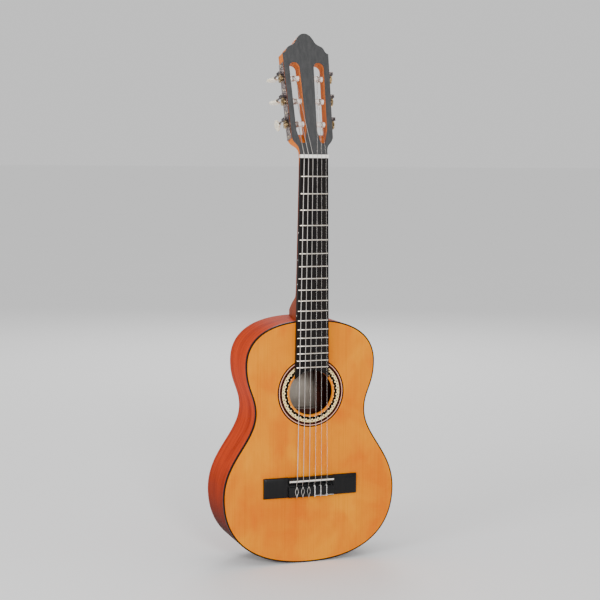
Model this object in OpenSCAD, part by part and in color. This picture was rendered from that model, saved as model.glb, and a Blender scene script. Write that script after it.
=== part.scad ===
// Quarter-size classical guitar, built up from its separate wooden, metal and plastic pieces.
// X runs to the right seen from the front, Y towards the back and Z up the neck, in millimetres.
// The origin is the middle of the nut's front edge, in the plane where the fingerboard is glued
// to the neck, which is also the plane of the soundboard's outer face.

/* [Strings] */
// Open string length from nut to saddle
scale_length = 480; // [474:1:486]
// Distance between the outer strings at the nut
nut_spread = 34.2; // [32:0.1:36]
// Distance between the outer strings at the bridge
bridge_spread = 47.8; // [45:0.1:50]
// Height of the strings above the fingerboard's glue plane at the nut
nut_height = 8; // [7.6:0.1:8.4]
// Height of the saddle above the soundboard
saddle_height = 10; // [9.6:0.1:11]

/* [Body] */
// Length of the body
body_length = 369; // [360:1:380]
// Half width of the upper bout
upper_half = 102; // [98:1:106]
// Half width of the waist
waist_half = 87; // [84:1:90]
// Half width of the lower bout
lower_half = 136; // [130:1:142]
// Depth of the body at the heel
heel_depth = 81; // [76:1:84]
// Depth of the body at the tail
tail_depth = 86; // [84:1:90]
// Thickness of the soundboard
top_t = 2.5; // [2.2:0.1:2.8]
// Thickness of the back
back_t = 2.5; // [2:0.1:3]
// Thickness of the sides
side_t = 2.2; // [1.8:0.1:2.4]
// Width of the binding around the top
binding_w = 2; // [1.5:0.1:2.2]
// Depth of the binding down the side
binding_h = 4; // [3:0.1:5]
// Radius of the soundhole
hole_r = 34; // [32:0.5:35]

/* [Neck] */
// Width of the fingerboard at the nut
nut_width = 43; // [42:0.5:44]
// Width of the fingerboard at the twelfth fret
joint_width = 50; // [49:0.5:52]
// Thickness of the fingerboard
board_t = 6; // [5.5:0.1:6.2]
// Number of frets
fret_count = 18; // [12:1:18]
// Depth of the neck behind the fingerboard at the nut
neck_depth = 16; // [15:0.5:17]
// Depth of the neck behind the fingerboard before the heel
heel_start_depth = 20; // [19:0.5:22]

/* [Head] */
// Angle that the head leans back, in degrees
head_angle = 15; // [14:0.5:16]
// Thickness of the head with its veneer
head_t = 20.5; // [20:0.1:21]
// Thickness of the veneer on the head's face
veneer_t = 2; // [1.5:0.1:2.5]
// Distance between neighbouring tuners
tuner_pitch = 35; // [34:0.5:36]

/* [Tuners] */
// Teeth on each gear
gear_teeth = 14; // [14:1:14]
// Distance between the axes of a worm and its gear
gear_offset = 8; // [8:0.1:8.2]
// Radius of a roller
roller_r = 4; // [3.6:0.1:4.2]

/* [Hidden] */
$fn = 48;

// Body outline: the places of the bouts and the waist along the neck's axis
body_top = -scale_length / 2;
body_tail = body_top - body_length;
upper_z = body_top - 66;
waist_z = body_top - 138;
lower_z = body_top - 263;
hole_z = body_top - 109;
curve_steps = 12;
// Control points of the right half, from the neck joint round to the tail
body_curves = [
    [[0, body_top], [66, body_top], [upper_half, upper_z + 42], [upper_half, upper_z]],
    [[upper_half, upper_z], [upper_half, upper_z - 36], [waist_half, waist_z + 27], [waist_half, waist_z]],
    [[waist_half, waist_z], [waist_half, waist_z - 42], [lower_half, lower_z + 57], [lower_half, lower_z]],
    [[lower_half, lower_z], [lower_half, lower_z - 66], [89, body_tail], [0, body_tail]]
];
back_tilt = atan((tail_depth - heel_depth) / body_length);
lining_w = 6;
lining_h = 10;
brace_inset = side_t + lining_w + 0.3;
strip_half = 3;
tenon_half = 8;
tenon_front = 6;
tenon_rear = 60;
tenon_length = 14;
neck_block_half = 28;
neck_block_length = 30;
tail_block_half = 30;
tail_block_length = 16;
rosette_in = 37.5;
rosette_out = 51.8;
rosette_t = 1;
upper_brace_z = hole_z + 45;
lower_brace_z = hole_z - 46;
back_brace_places = [-52, -160, -266];
label_half = [36, 31];

// Neck and head
board_end_z = hole_z + 21.6;
cap_t = 2.5;
heel_tip_depth = heel_depth + 7;
heel_tip_half = 9;
heel_curve = [[-196, heel_start_depth + 1], [-212, heel_start_depth + 2], [-206, 52], [-232, heel_tip_depth]];
scarf_z = -4;
nut_length = 5;
nut_rear_drop = 0.6;
face_front = 3.5;
side_angle = 1.797;
middle_tuner = [33.76, 83.1];
slot_half = 8.2;
slot_offset = 16.2;
slot_start = -67.3;
slot_taper = 22;
slot_end = 57.3;
ramp_length = 19;
// Control points of the head's right edge, from the nut round to the tip, across and up the slope
head_curves = [
    [[21.5, 5], [22, 18], [30, 15], [32, 27]],
    [[36, 154.5], [33.5, 155], [31.2, 157], [30.2, 159.5]],
    [[30.2, 159.5], [29.3, 162], [27.5, 164.5], [24.6, 165.8]],
    [[24.6, 165.8], [21.5, 167], [18.3, 168.5], [15.9, 171.3]],
    [[15.9, 171.3], [13.2, 175.5], [9.5, 185.3], [0, 185.3]]
];

// Bridge
bridge_front_z = -scale_length + 3.7;
bridge_length = 30.7;
wing_half = 74.25;
wing_h = 4.5;
tie_half = 36;
hole_depth = 5;
saddle_half = 35;
saddle_t = 2.5;
saddle_z = -scale_length - 2;
tie_front_z = bridge_front_z - 14.5;
tie_rear_z = bridge_front_z - 29.3;

// Tuning machines, in a frame on the side of the head: X outwards, Y backwards, Z up the slope
roller_depth = 11;
tuner_steps = [-1, 0, 1, 1, 0, -1];
journal_r = 2.5;
tip_journal_r = 2;
running_gap = 0.05;
slot_outer = slot_half - slot_offset;
slot_inner = -slot_half - slot_offset;
blind_bore = 6;
plate_t = 1.2;
plate_half = 58;
plate_front = -8.5;
plate_rear = 9;
gear_x = 5;
gear_w = 2.4;
gear_tip_r = 6.2;
gear_root_r = 4.7;
worm_lead = 2 * PI * 5.6 / gear_teeth;
worm_turns = 4;
worm_r = 2.35;
worm_throw = 0.75;
shaft_r = 1.5;
ear_t = 1.5;
ear_y = 5.4;
button_y = 34;
button_r = 8.7;
button_t = 5.5;
// Rest angle of each button about its shaft; 0 shows its broad face to the side
button_angles = [20, 75, 90, 90, 85, 10];
screw_places = [-54, -17.5, 17.5, 54];

// Strings, from the first on the treble side to the sixth
string_radii = [0.36, 0.41, 0.51, 0.37, 0.45, 0.55];
roller_ends = [19, 17.5, 17, -17, -17.5, -19];
string_sides = 8;

function mix(a, b, t) = a + (b - a) * t;
function bezier(p, t) =
    pow(1 - t, 3) * p[0] + 3 * pow(1 - t, 2) * t * p[1] + 3 * (1 - t) * t * t * p[2] + pow(t, 3) * p[3];
function slope(p, t) =
    pow(1 - t, 2) * (p[1] - p[0]) + 2 * (1 - t) * t * (p[2] - p[1]) + t * t * (p[3] - p[2]);
function outward(p, t) = let (s = slope(p, t)) [-s[1], s[0]] / norm(s);
function mirrored(half) = [for (i = [len(half) - 1:-1:0]) if (half[i][0] > 0.001) [-half[i][0], half[i][1]]];
function half_outline(inset) = concat(
    [for (p = body_curves, i = [0:curve_steps - 1])
        let (t = i / curve_steps) bezier(p, t) - inset * outward(p, t)],
    [[0, body_tail + inset]]
);
function outline(inset) = concat(half_outline(inset), mirrored(half_outline(inset)));
function fret_z(n) = -scale_length * (1 - pow(2, -n / 12));
function board_half(z) = nut_width / 2 + (joint_width - nut_width) / 2 * z / body_top;
function string_x(k, spread) = spread * (3.5 - k) / 5;

// A flat shape in X and Z, made solid from one Y to another
module prism(points, front, rear) {
    translate([0, rear, 0]) rotate([90, 0, 0]) linear_extrude(rear - front) polygon(points);
}

// A box between two corners
module block(low, high) {
    translate(low) cube(high - low);
}

// The frame of the back's outer face, with its origin at the heel
module back_frame() {
    translate([0, heel_depth, body_top]) rotate([back_tilt, 0, 0]) children();
}

// The space enclosed by an outline, from a front plane to the plane at a depth inside the back
module body_space(inset, front, behind) {
    difference() {
        prism(outline(inset), front, tail_depth + 20);
        back_frame() block([-200, -behind, -400], [200, 60, 60]);
    }
}

module tenon() {
    block([-tenon_half, tenon_front, body_top - tenon_length], [tenon_half, tenon_rear, body_top + 5]);
}

module neck_block_space() {
    block([-neck_block_half, 0, body_top - neck_block_length], [neck_block_half, 120, body_top + 5]);
}

module tail_block_space() {
    block([-tail_block_half, 0, body_tail - 5], [tail_block_half, 120, body_tail + tail_block_length]);
}

module soundboard() color([0.99, 0.66, 0.26]) difference() {
    prism(outline(binding_w), 0, top_t);
    translate([0, -1, hole_z]) rotate([-90, 0, 0]) cylinder(r = hole_r, h = 10, $fn = 96);
    rosette_ring(-1, rosette_t);
}

module rosette_ring(front, rear) {
    translate([0, front, hole_z]) rotate([-90, 0, 0]) difference() {
        cylinder(r = rosette_out, h = rear - front, $fn = 96);
        translate([0, 0, -1]) cylinder(r = rosette_in, h = rear - front + 2, $fn = 96);
    }
}

module rosette() color([0.86, 0.78, 0.62]) rosette_ring(0, rosette_t);

module side_ring() {
    difference() {
        body_space(0, binding_h, back_t);
        prism(outline(side_t), 0, 130);
        tenon();
    }
}

module bass_side() color([0.76, 0.32, 0.18]) intersection() {
    side_ring();
    union() {
        block([-200, 0, body_tail - 5], [-strip_half, 130, body_top + 5]);
        block([-strip_half - 1, 0, body_tail + 100], [0, 130, body_top + 5]);
    }
}

module treble_side() color([0.76, 0.32, 0.18]) intersection() {
    side_ring();
    union() {
        block([strip_half, 0, body_tail - 5], [200, 130, body_top + 5]);
        block([0, 0, body_tail + 100], [strip_half + 1, 130, body_top + 5]);
    }
}

module end_strip() color([0.25, 0.1, 0.06]) intersection() {
    side_ring();
    block([-strip_half, 0, body_tail - 5], [strip_half, 130, body_tail + 100]);
}

module back() color([0.72, 0.3, 0.17]) difference() {
    body_space(0, heel_depth - 20, 0);
    back_frame() block([-200, -60, -400], [200, -back_t, 60]);
}

module back_center_strip() color([0.8, 0.55, 0.35]) difference() {
    back_frame() block([-7, -back_t - 2, -body_length + 17], [7, -back_t, -neck_block_length - 1]);
    back_brace_spaces(5);
    label_space(1);
}

module top_linings() color([0.82, 0.6, 0.4]) difference() {
    prism(outline(side_t), top_t, top_t + lining_h);
    prism(outline(side_t + lining_w), 0, 30);
    neck_block_space();
    tail_block_space();
}

module back_linings() color([0.82, 0.6, 0.4]) difference() {
    body_space(side_t, heel_depth - 20, back_t);
    prism(outline(side_t + lining_w), 0, 130);
    back_frame() block([-200, -60, -400], [200, -back_t - lining_h, 60]);
    neck_block_space();
    tail_block_space();
}

module top_binding() color([0.09, 0.05, 0.04]) difference() {
    prism(outline(0), 0, binding_h);
    prism(outline(binding_w), -1, top_t);
    prism(outline(side_t), top_t - 1, binding_h + 1);
}

module tail_block() color([0.78, 0.56, 0.36]) intersection() {
    body_space(side_t, top_t, back_t);
    tail_block_space();
}

module neck_block() color([0.78, 0.56, 0.36]) difference() {
    intersection() {
        body_space(side_t, top_t, back_t);
        neck_block_space();
    }
    tenon();
}

module fan_braces() color([0.85, 0.66, 0.42]) intersection() {
    prism(outline(brace_inset), top_t, top_t + 6);
    union() {
        for (i = [-2:2]) {
            translate([14 * i, 0, lower_brace_z - 8]) rotate([0, -atan(16 * i / 170), 0])
                block([-2.5, top_t, -172], [2.5, top_t + 6, 0]);
        }
    }
}

module cross_braces() color([0.85, 0.66, 0.42]) intersection() {
    prism(outline(brace_inset), top_t, top_t + 14);
    union() {
        for (z = [upper_brace_z, lower_brace_z]) block([-150, top_t, z - 5], [150, top_t + 14, z + 5]);
    }
}

module back_brace_spaces(half) {
    back_frame() for (z = back_brace_places) block([-150, -back_t - 12, z - half], [150, -back_t, z + half]);
}

module back_braces() color([0.85, 0.66, 0.42]) intersection() {
    body_space(brace_inset, 0, back_t);
    back_brace_spaces(4);
}

module label_space(extra) {
    back_frame() translate([0, 0, hole_z - 9 - body_top]) block(
        [-label_half[0] - extra, -back_t - (extra > 0 ? 3 : 0.3), -label_half[1] - extra],
        [label_half[0] + extra, -back_t, label_half[1] + extra]
    );
}

module label() color([0.93, 0.9, 0.82]) label_space(0);

// One cross-section of the neck: flat in front, round behind, drawn in to a tongue at the heel
function neck_section(z, depth, tip_half, power) = [
    for (i = [0:26]) let (
        a = 180 * i / 26,
        u = sin(a),
        w = mix(board_half(z), tip_half, u) * sqrt(max(0, 1 - pow(u, power)))
    ) [sign(cos(a)) * w, depth * u, z]
];
// Heights along the shaft, each with how square its section is: squarer near the head
shaft_stations = [
    [3, 2.5], [0, 2.5], [-9, 2.3], [-18, 2.15], [-30, 2.05], [-45, 2], [-60, 2], [-120, 2], [-170, 2]
];
neck_sections = concat(
    [for (s = shaft_stations) neck_section(
        s[0], mix(neck_depth, heel_start_depth, max(0, -s[0]) / 190), board_half(s[0]), s[1]
    )],
    [for (i = [0:18]) let (t = i / 18, p = bezier(heel_curve, t)) neck_section(
        p[0] + body_top + 240, p[1], mix(board_half(p[0]), heel_tip_half, t), mix(2, 7, t)
    )],
    [neck_section(body_top - 4, heel_tip_depth, heel_tip_half, 7)]
);

// A skin over rings of points, closed by the first and the last ring
module skin(rings) {
    n = len(rings[0]);
    last = (len(rings) - 1) * n;
    points = [for (ring = rings, p = ring) p];
    walls = [for (r = [0:len(rings) - 2], i = [0:n - 1]) let (a = r * n + i, b = r * n + (i + 1) % n)
        each [[a, b, b + n], [a, b + n, a + n]]];
    first_cap = [for (i = [n - 1:-1:0]) i];
    last_cap = [for (i = [0:n - 1]) last + i];
    polyhedron(points, concat([first_cap], walls, [last_cap]));
}

module scarf_space() {
    translate([0, 0, scarf_z]) rotate([15, 0, 0]) block([-60, 0, -100], [60, 100, 60]);
}

module neck() color([0.53, 0.23, 0.12]) union() {
    difference() {
        skin(neck_sections);
        scarf_space();
        block([-60, -1, 0], [60, 60, 10]);
        block([-60, heel_depth - cap_t, body_top - 10], [60, 120, 0]);
        prism(outline(0), -1, 130);
    }
    intersection() {
        tenon();
        prism(outline(0), 0, 130);
    }
}

module heel_cap() color([0.2, 0.1, 0.07]) difference() {
    intersection() {
        skin(neck_sections);
        block([-60, heel_depth - cap_t, body_top - 10], [60, heel_depth, 0]);
    }
    prism(outline(0), -1, 130);
}

// The frame of the head's face: X across, Y into the head and Z up its slope
module head_frame() {
    translate([0, -face_front, nut_length]) rotate([-head_angle, 0, 0]) children();
}

head_half = concat(
    [[21.5, -14]],
    [for (c = head_curves, i = [0:8]) bezier(c, i / 8)]
);
head_points = concat(head_half, mirrored(head_half));

// The frame of one side of the head, at the middle tuner on the roller's axis; side is 1 or -1
module side_frame(side) {
    head_frame() mirror([side < 0 ? 1 : 0, 0, 0]) translate([middle_tuner[0], roller_depth, middle_tuner[1]])
        rotate([0, side_angle, 0]) children();
}

module tuner_frame(k) {
    side_frame(k < 4 ? 1 : -1) translate([0, 0, tuner_steps[k - 1] * tuner_pitch]) children();
}

// A cylinder along X from one place to another
module rod_x(r, from, to) {
    translate([from, 0, 0]) rotate([0, 90, 0]) cylinder(r = r, h = to - from);
}

// A cylinder along Y from one place to another
module rod_y(r, from, to) {
    translate([0, from, 0]) rotate([-90, 0, 0]) cylinder(r = r, h = to - from);
}

// The string slots through the head, each with a ramp at the end nearest the nut
module slots() {
    for (side = [-1, 1]) side_frame(side) difference() {
        translate([-slot_offset, 0, 0]) {
            low = slot_start + slot_taper;
            high = slot_end - slot_half;
            block([-slot_half, -roller_depth - 5, low], [slot_half, head_t, high]);
            translate([0, 0, high]) rod_y(slot_half, -roller_depth - 5, head_t);
            hull() {
                translate([0, 0, low]) rod_y(slot_half, -roller_depth - 5, head_t);
                translate([0, 0, slot_start + 4]) rod_y(4, -roller_depth - 5, head_t);
            }
        }
        translate([-60, 0, 0]) rotate([90, 0, 90]) linear_extrude(60) polygon([
            [-roller_depth - 6, slot_start - 6 * ramp_length / head_t],
            [head_t, slot_start + (head_t + roller_depth) * ramp_length / head_t],
            [head_t, slot_start - 40],
            [-roller_depth - 6, slot_start - 40]
        ]);
    }
}

// A ring round the head's rear, from the neck's round section at t = 0 to clear of the head at t = 1
function rounding_ring(half, z, t) = [
    for (i = [0:26]) let (
        a = 180 * i / 26,
        u = sin(a),
        w = (half + 0.05 + 3 * t) * sqrt(max(0, 1 - pow(u, mix(2.5, 12, t))))
    ) [sign(cos(a)) * w, 3.95 + (head_t - 3.95 + 3 * t) * u, z + 0.01 * t]
];

// What is cut from the head's rear edges, so that it rounds down into the neck
module head_rounding() {
    curve = [for (i = [0:8]) bezier(head_curves[0], i / 8)];
    rings = concat([for (i = [8:-1:0]) [curve[i][0], curve[i][1], i / 8]], [[21.5, -12, 0], [21.5, -31, 0]]);
    head_frame() difference() {
        block([-45, 4, -30], [45, head_t + 6, 27]);
        skin([for (r = rings) rounding_ring(r[0], r[1], pow(r[2], 1.5))]);
    }
}

module headstock() color([0.8, 0.4, 0.15]) union() {
    difference() {
        head_frame() prism(head_points, veneer_t, head_t);
        block([-60, -20, -40], [60, 60, 0]);
        block([-60, -20, -40], [60, 0, nut_length]);
        head_rounding();
        slots();
        for (k = [1:6]) tuner_frame(k) {
            rod_x(journal_r + running_gap, slot_outer - 1, 2);
            rod_x(tip_journal_r + running_gap, slot_inner - blind_bore, slot_inner + 1);
        }
        for (side = [-1, 1], z = screw_places) side_frame(side) translate([0, 0, z]) rod_x(1.1, -6, 2);
    }
    intersection() {
        difference() {
            skin(neck_sections);
            block([-60, -1, 0.5], [60, 60, 10]);
        }
        scarf_space();
        block([-nut_width / 2 + 0.05, 0.05, -100], [nut_width / 2 - 0.05, 60, 10]);
    }
}

module head_veneer() color([0.2, 0.2, 0.18]) difference() {
    head_frame() prism(head_points, 0, veneer_t);
    block([-60, -40, -40], [60, 60, nut_length]);
    slots();
}

module fingerboard() color([0.1, 0.08, 0.08]) difference() {
    prism([
        [-board_half(0), 0], [board_half(0), 0],
        [board_half(board_end_z), board_end_z], [-board_half(board_end_z), board_end_z]
    ], -board_t, 0);
    translate([0, -board_t - 1, hole_z]) rotate([-90, 0, 0]) cylinder(r = hole_r, h = board_t + 2, $fn = 96);
    side_dot_rods();
}

module side_dot_rods() {
    for (n = [5, 7, 9, 12]) {
        z = (fret_z(n) + fret_z(n - 1)) / 2;
        translate([-board_half(z), -board_t / 2, z]) rod_x(1, -2, 1);
    }
}

module side_dots() color([0.95, 0.94, 0.9]) intersection() {
    side_dot_rods();
    prism([
        [-board_half(0), 0], [0, 0], [0, board_end_z], [-board_half(board_end_z), board_end_z]
    ], -board_t, 0);
}

module frets() color([0.85, 0.82, 0.75]) for (n = [1:fret_count]) {
    z = fret_z(n);
    difference() {
        translate([0, -board_t + 0.1, z]) rod_x(1, -board_half(z) + 0.2, board_half(z) - 0.2);
        block([-60, -board_t, z - 5], [60, 0, z + 5]);
    }
}

module nut() color([0.96, 0.95, 0.92]) rotate([90, 0, 90]) translate([0, 0, -nut_width / 2])
    linear_extrude(nut_width) polygon([
        [0, 0], [-nut_height, 0], [-nut_height + nut_rear_drop, nut_length], [0, nut_length]
    ]);

// A bar across the bridge whose section is given in Y and Z
module bar_x(half, section) {
    translate([-half, 0, 0]) rotate([90, 0, 90]) linear_extrude(2 * half) polygon(section);
}

module bridge() color([0.1, 0.1, 0.1]) difference() {
    union() {
        bar_x(wing_half, [
            [0, bridge_front_z], [-wing_h + 2, bridge_front_z], [-wing_h + 0.5, bridge_front_z - 4],
            [-wing_h, bridge_front_z - 10], [-wing_h, bridge_front_z - bridge_length + 2],
            [-wing_h + 1.5, bridge_front_z - bridge_length], [0, bridge_front_z - bridge_length]
        ]);
        bar_x(tie_half, [
            [-1, bridge_front_z - 1], [-5, bridge_front_z - 1], [-7.5, bridge_front_z - 3.5],
            [-7.5, bridge_front_z - 9], [-3.5, bridge_front_z - 11.5], [-3.5, tie_front_z],
            [-8, tie_front_z], [-8, tie_rear_z], [-7, tie_rear_z - 0.8], [-1, tie_rear_z - 1.2]
        ]);
    }
    bar_x(tie_half - 0.6, [
        [-10, bridge_front_z - 9], [-3.5, bridge_front_z - 11.5], [-3.5, tie_front_z], [-10, tie_front_z]
    ]);
    block([-saddle_half, -20, saddle_z - saddle_t / 2], [saddle_half, -3, saddle_z + saddle_t / 2]);
    for (k = [1:6]) translate([string_x(k, bridge_spread), -hole_depth, tie_front_z + 1])
        rotate([180, 0, 0]) cylinder(r = 0.9, h = 20);
}

module saddle() color([0.96, 0.95, 0.92]) bar_x(saddle_half, [
    [-3, saddle_z + saddle_t / 2], [-saddle_height, saddle_z + saddle_t / 2],
    [-saddle_height, saddle_z + saddle_t / 2 - 0.6], [-saddle_height + 1.6, saddle_z - saddle_t / 2],
    [-3, saddle_z - saddle_t / 2]
]);

// A string, from beyond the tie block over the saddle and the nut to the front of its roller
module string(k) {
    r = string_radii[k - 1];
    roller_z = middle_tuner[1] + tuner_steps[k - 1] * tuner_pitch;
    near_face = roller_depth - roller_r - r - 0.3;
    path = [
        [string_x(k, bridge_spread), -hole_depth, tie_rear_z - 2],
        [string_x(k, bridge_spread), -hole_depth, tie_front_z],
        [string_x(k, bridge_spread), -saddle_height - r, saddle_z + saddle_t / 2 - 0.3],
        [string_x(k, nut_spread), -nut_height - r, 0],
        [string_x(k, nut_spread), -nut_height + nut_rear_drop - r, nut_length],
        [
            roller_ends[k - 1],
            -face_front + near_face * cos(head_angle) + roller_z * sin(head_angle),
            nut_length - near_face * sin(head_angle) + roller_z * cos(head_angle)
        ]
    ];
    color(k < 4 ? [0.9, 0.88, 0.82] : [0.8, 0.8, 0.82]) skin([for (i = [len(path) - 1:-1:0]) [
        for (j = [0:string_sides - 1]) let (a = 360 * (j + 0.5) / string_sides)
            path[i] + r * [cos(a), sin(a), 0]
    ]]);
}

module tuner_plate(side) {
    side_frame(side) difference() {
        union() {
            block([0, plate_front, -plate_half], [plate_t, plate_rear, plate_half]);
            for (step = [-1:1], y = [-ear_y - ear_t, ear_y])
                translate([0, y, step * tuner_pitch + gear_offset])
                    block([plate_t - 0.5, 0, -2.6], [gear_x + 2.4, ear_t, 2.6]);
        }
        for (step = [-1:1]) translate([0, 0, step * tuner_pitch]) {
            rod_x(journal_r + running_gap, -1, plate_t + 1);
            translate([gear_x, 0, gear_offset]) rod_y(shaft_r + running_gap, -10, 10);
        }
        for (z = screw_places) translate([0, 0, z]) rod_x(1.1, -1, plate_t + 1);
    }
}

module tuner_plate_bass() color([0.78, 0.76, 0.72]) tuner_plate(-1);

module tuner_plate_treble() color([0.78, 0.76, 0.72]) tuner_plate(1);

module plate_screws() color([0.8, 0.78, 0.7]) for (side = [-1, 1], z = screw_places) side_frame(side)
    translate([0, 0, z]) difference() {
        union() {
            rod_x(1.1, -6, plate_t + 0.1);
            rod_x(2.2, plate_t, plate_t + 1);
        }
        block([plate_t + 0.5, -3, -0.3], [plate_t + 2, 3, 0.3]);
    }

module roller(k) color([0.95, 0.94, 0.9]) tuner_frame(k) union() {
    rod_x(roller_r, slot_inner + 0.4, slot_outer - 0.4);
    rod_x(journal_r, slot_outer - 1, plate_t + 0.3);
    rod_x(tip_journal_r, slot_inner - blind_bore + 0.5, slot_inner + 1);
}

module gear(k) color([0.8, 0.66, 0.36]) tuner_frame(k) {
    tooth = 360 / gear_teeth;
    corners = [[-8, gear_root_r], [-2, gear_tip_r], [2, gear_tip_r], [8, gear_root_r]];
    rod_x(4, plate_t + 0.3, gear_x - gear_w / 2);
    translate([gear_x - gear_w / 2, 0, 0]) rotate([90, 0, 90]) linear_extrude(gear_w) polygon([
        for (i = [0:gear_teeth - 1], corner = corners)
            let (a = 90 + (i + 0.5) * tooth + corner[0]) corner[1] * [cos(a), sin(a)]
    ]);
    difference() {
        rod_x(2.2, gear_x + gear_w / 2, gear_x + gear_w / 2 + 1);
        block([gear_x + gear_w / 2 + 0.5, -3, -0.3], [gear_x + 5, 3, 0.3]);
    }
}

module worm(k) color([0.75, 0.75, 0.75]) tuner_frame(k) translate([gear_x, 0, gear_offset]) {
    rod_y(shaft_r, -ear_y - ear_t - 0.4, button_y - 8);
    rotate([-90, 0, 0]) linear_extrude(
        height = worm_lead * worm_turns, center = true, twist = -360 * worm_turns,
        slices = 9 * worm_turns, segments = 12
    ) translate([0, worm_throw]) circle(r = worm_r, $fn = 12);
}

module button(k) color([0.93, 0.91, 0.86]) tuner_frame(k) translate([gear_x, 0, gear_offset])
    rotate([0, button_angles[k - 1], 0]) difference() {
        union() {
            rod_y(3, button_y - 11, button_y - 6);
            translate([0, button_y, 0]) rod_x(button_r, -button_t / 2, button_t / 2);
        }
        rod_y(shaft_r, 0, button_y - 8);
    }

soundboard();
rosette();
bass_side();
treble_side();
back();
back_center_strip();
top_linings();
back_linings();
top_binding();
end_strip();
tail_block();
neck_block();
fan_braces();
cross_braces();
back_braces();
label();
neck();
headstock();
heel_cap();
fingerboard();
frets();
nut();
head_veneer();
side_dots();
bridge();
saddle();
tuner_plate_bass();
tuner_plate_treble();
plate_screws();
for (k = [1:6]) {
    string(k);
    roller(k);
    gear(k);
    worm(k);
    button(k);
}
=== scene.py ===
"""The looks of a quarter-size classical guitar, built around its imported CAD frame.

Lengths in the constants are millimetres; meshes are written in metres. X runs to the right seen
from the front, Y to the back and Z up the neck, from an origin at the nut.
"""
import math

import bmesh
import bpy
from mathutils import Matrix, Vector


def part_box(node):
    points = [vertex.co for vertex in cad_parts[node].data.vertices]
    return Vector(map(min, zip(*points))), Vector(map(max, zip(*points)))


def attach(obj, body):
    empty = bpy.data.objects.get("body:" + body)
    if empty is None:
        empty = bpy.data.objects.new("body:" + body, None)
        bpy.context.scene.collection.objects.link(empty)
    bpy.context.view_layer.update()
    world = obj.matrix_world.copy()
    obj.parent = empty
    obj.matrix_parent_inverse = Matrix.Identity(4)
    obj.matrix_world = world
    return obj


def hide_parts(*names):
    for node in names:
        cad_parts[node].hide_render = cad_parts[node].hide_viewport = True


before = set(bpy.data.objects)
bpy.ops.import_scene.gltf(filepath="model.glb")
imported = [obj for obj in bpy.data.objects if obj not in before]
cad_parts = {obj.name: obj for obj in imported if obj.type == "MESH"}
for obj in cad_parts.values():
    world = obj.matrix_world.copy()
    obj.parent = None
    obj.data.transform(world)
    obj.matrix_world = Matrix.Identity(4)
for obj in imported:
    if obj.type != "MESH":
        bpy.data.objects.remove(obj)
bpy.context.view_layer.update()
MM = 0.001
TAU = 2 * math.pi


def extent(node):
    """A CAD node's lowest and highest corners in millimetres."""
    low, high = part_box(node)
    return low / MM, high / MM


# ---------------------------------------------------------------- sizes taken from the frame
BACK_LOW, BACK_HIGH = extent("back")
ROSETTE_LOW, ROSETTE_HIGH = extent("rosette")
BRIDGE_LOW, BRIDGE_HIGH = extent("bridge")
BODY_TOP, BODY_TAIL = BACK_HIGH.z, BACK_LOW.z
LOWER_HALF = BACK_HIGH.x
HEEL_DEPTH = extent("heel_cap")[1].y
TAIL_DEPTH = BACK_HIGH.y
HOLE_Z = (ROSETTE_LOW.z + ROSETTE_HIGH.z) / 2
ROSETTE_R = ROSETTE_HIGH.x + 0.8  # drawn a little wider than the CAD rosette
NUT_HALF = extent("nut")[1].x
NUT_HEIGHT = -extent("nut")[0].y
NUT_LENGTH = extent("nut")[1].z
SCALE_LENGTH = -2 * BODY_TOP

# ---------------------------------------------------------------- sizes of the visible pieces
UPPER_HALF = 0.75 * LOWER_HALF
WAIST_HALF = 87.0
UPPER_Z, WAIST_Z, LOWER_Z = BODY_TOP - 66, BODY_TOP - 138, BODY_TOP - 263
RIM_STEPS = 30
SIDE_T, TOP_T, BACK_T = 2.2, 2.5, 2.5
BINDING_W, BINDING_H, BINDING_ROUND = 2.0, 4.0, 0.9
BACK_ROUND = 1.0
EASE = 0.12  # how far the top's edge is broken beside the binding
GRAIN_START = 400  # keeps the two sides' grain apart
HOLE_R = 34.0
ROSETTE_IN, TEETH_R = 36.6, 37.1
INLAY_FRONT, INLAY_REAR, INLAY_STEPS = -0.02, 0.98, 240
SEAT = 1  # depth of the rosette's seat in the top
CELLS = 27
CELL = TAU / CELLS
TILE_FRONT, TILE_REAR = -0.05, 0.3
PAPER_T = 0.25
FRETS, FRET_HALF, FRET_H, FRET_INSET = 18, 0.92, 0.88, 0.7
BOARD_T, JOINT_WIDTH = 6.0, 50.0
WING_H = 4.5
WING_CROWN = ((0.0, 0.0), (0.50, 0.0), (0.62, 0.3), (0.72, 1.2), (0.84, 3.6), (0.93, 7.0), (0.985, 11.0),
              (1.0, 16.0), (0.985, 22.0), (0.95, 27.0), (0.90, 29.2), (0.80, 30.1), (0.62, 30.6),
              (0.5, 30.7), (0.0, 30.7))  # shares of the height, and distances below the front edge
SADDLE_H, SADDLE_Z = 10.0, -SCALE_LENGTH - 2
TIE_HALF, TIE_Y = 36.0, -7.9
TIE_FRONT, TIE_REAR = BRIDGE_HIGH.z - 14.5, BRIDGE_HIGH.z - 29.3
TIE_HOLE_Y, KNOT_Y = -5, -7.95
NUT_SPREAD, BRIDGE_SPREAD = 34.2, 47.8
STRING_R = (0.36, 0.41, 0.51, 0.37, 0.45, 0.55)
RUN_STEPS, WIND_STEPS = 24, 24
RUN_GAP = 0.12  # between a string's straight run and its turns
ROLLER_X = (19, 17.5, 17, -17, -17.5, -19)
ROLLER_R, ROLLER_OUT = 4.0, -8.4
HEAD_ANGLE = math.radians(15)
FACE_FRONT = 3.5
SIDE_ANGLE = math.radians(1.797)
MIDDLE_TUNER = (33.76, 11.0, 83.1)
TUNER_PITCH = 35.0
TUNER_STEPS = (-1, 0, 1, 1, 0, -1)
BUTTON_ANGLES = (20, 75, 90, 90, 85, 10)
BUTTON_SIDES = 32
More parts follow.
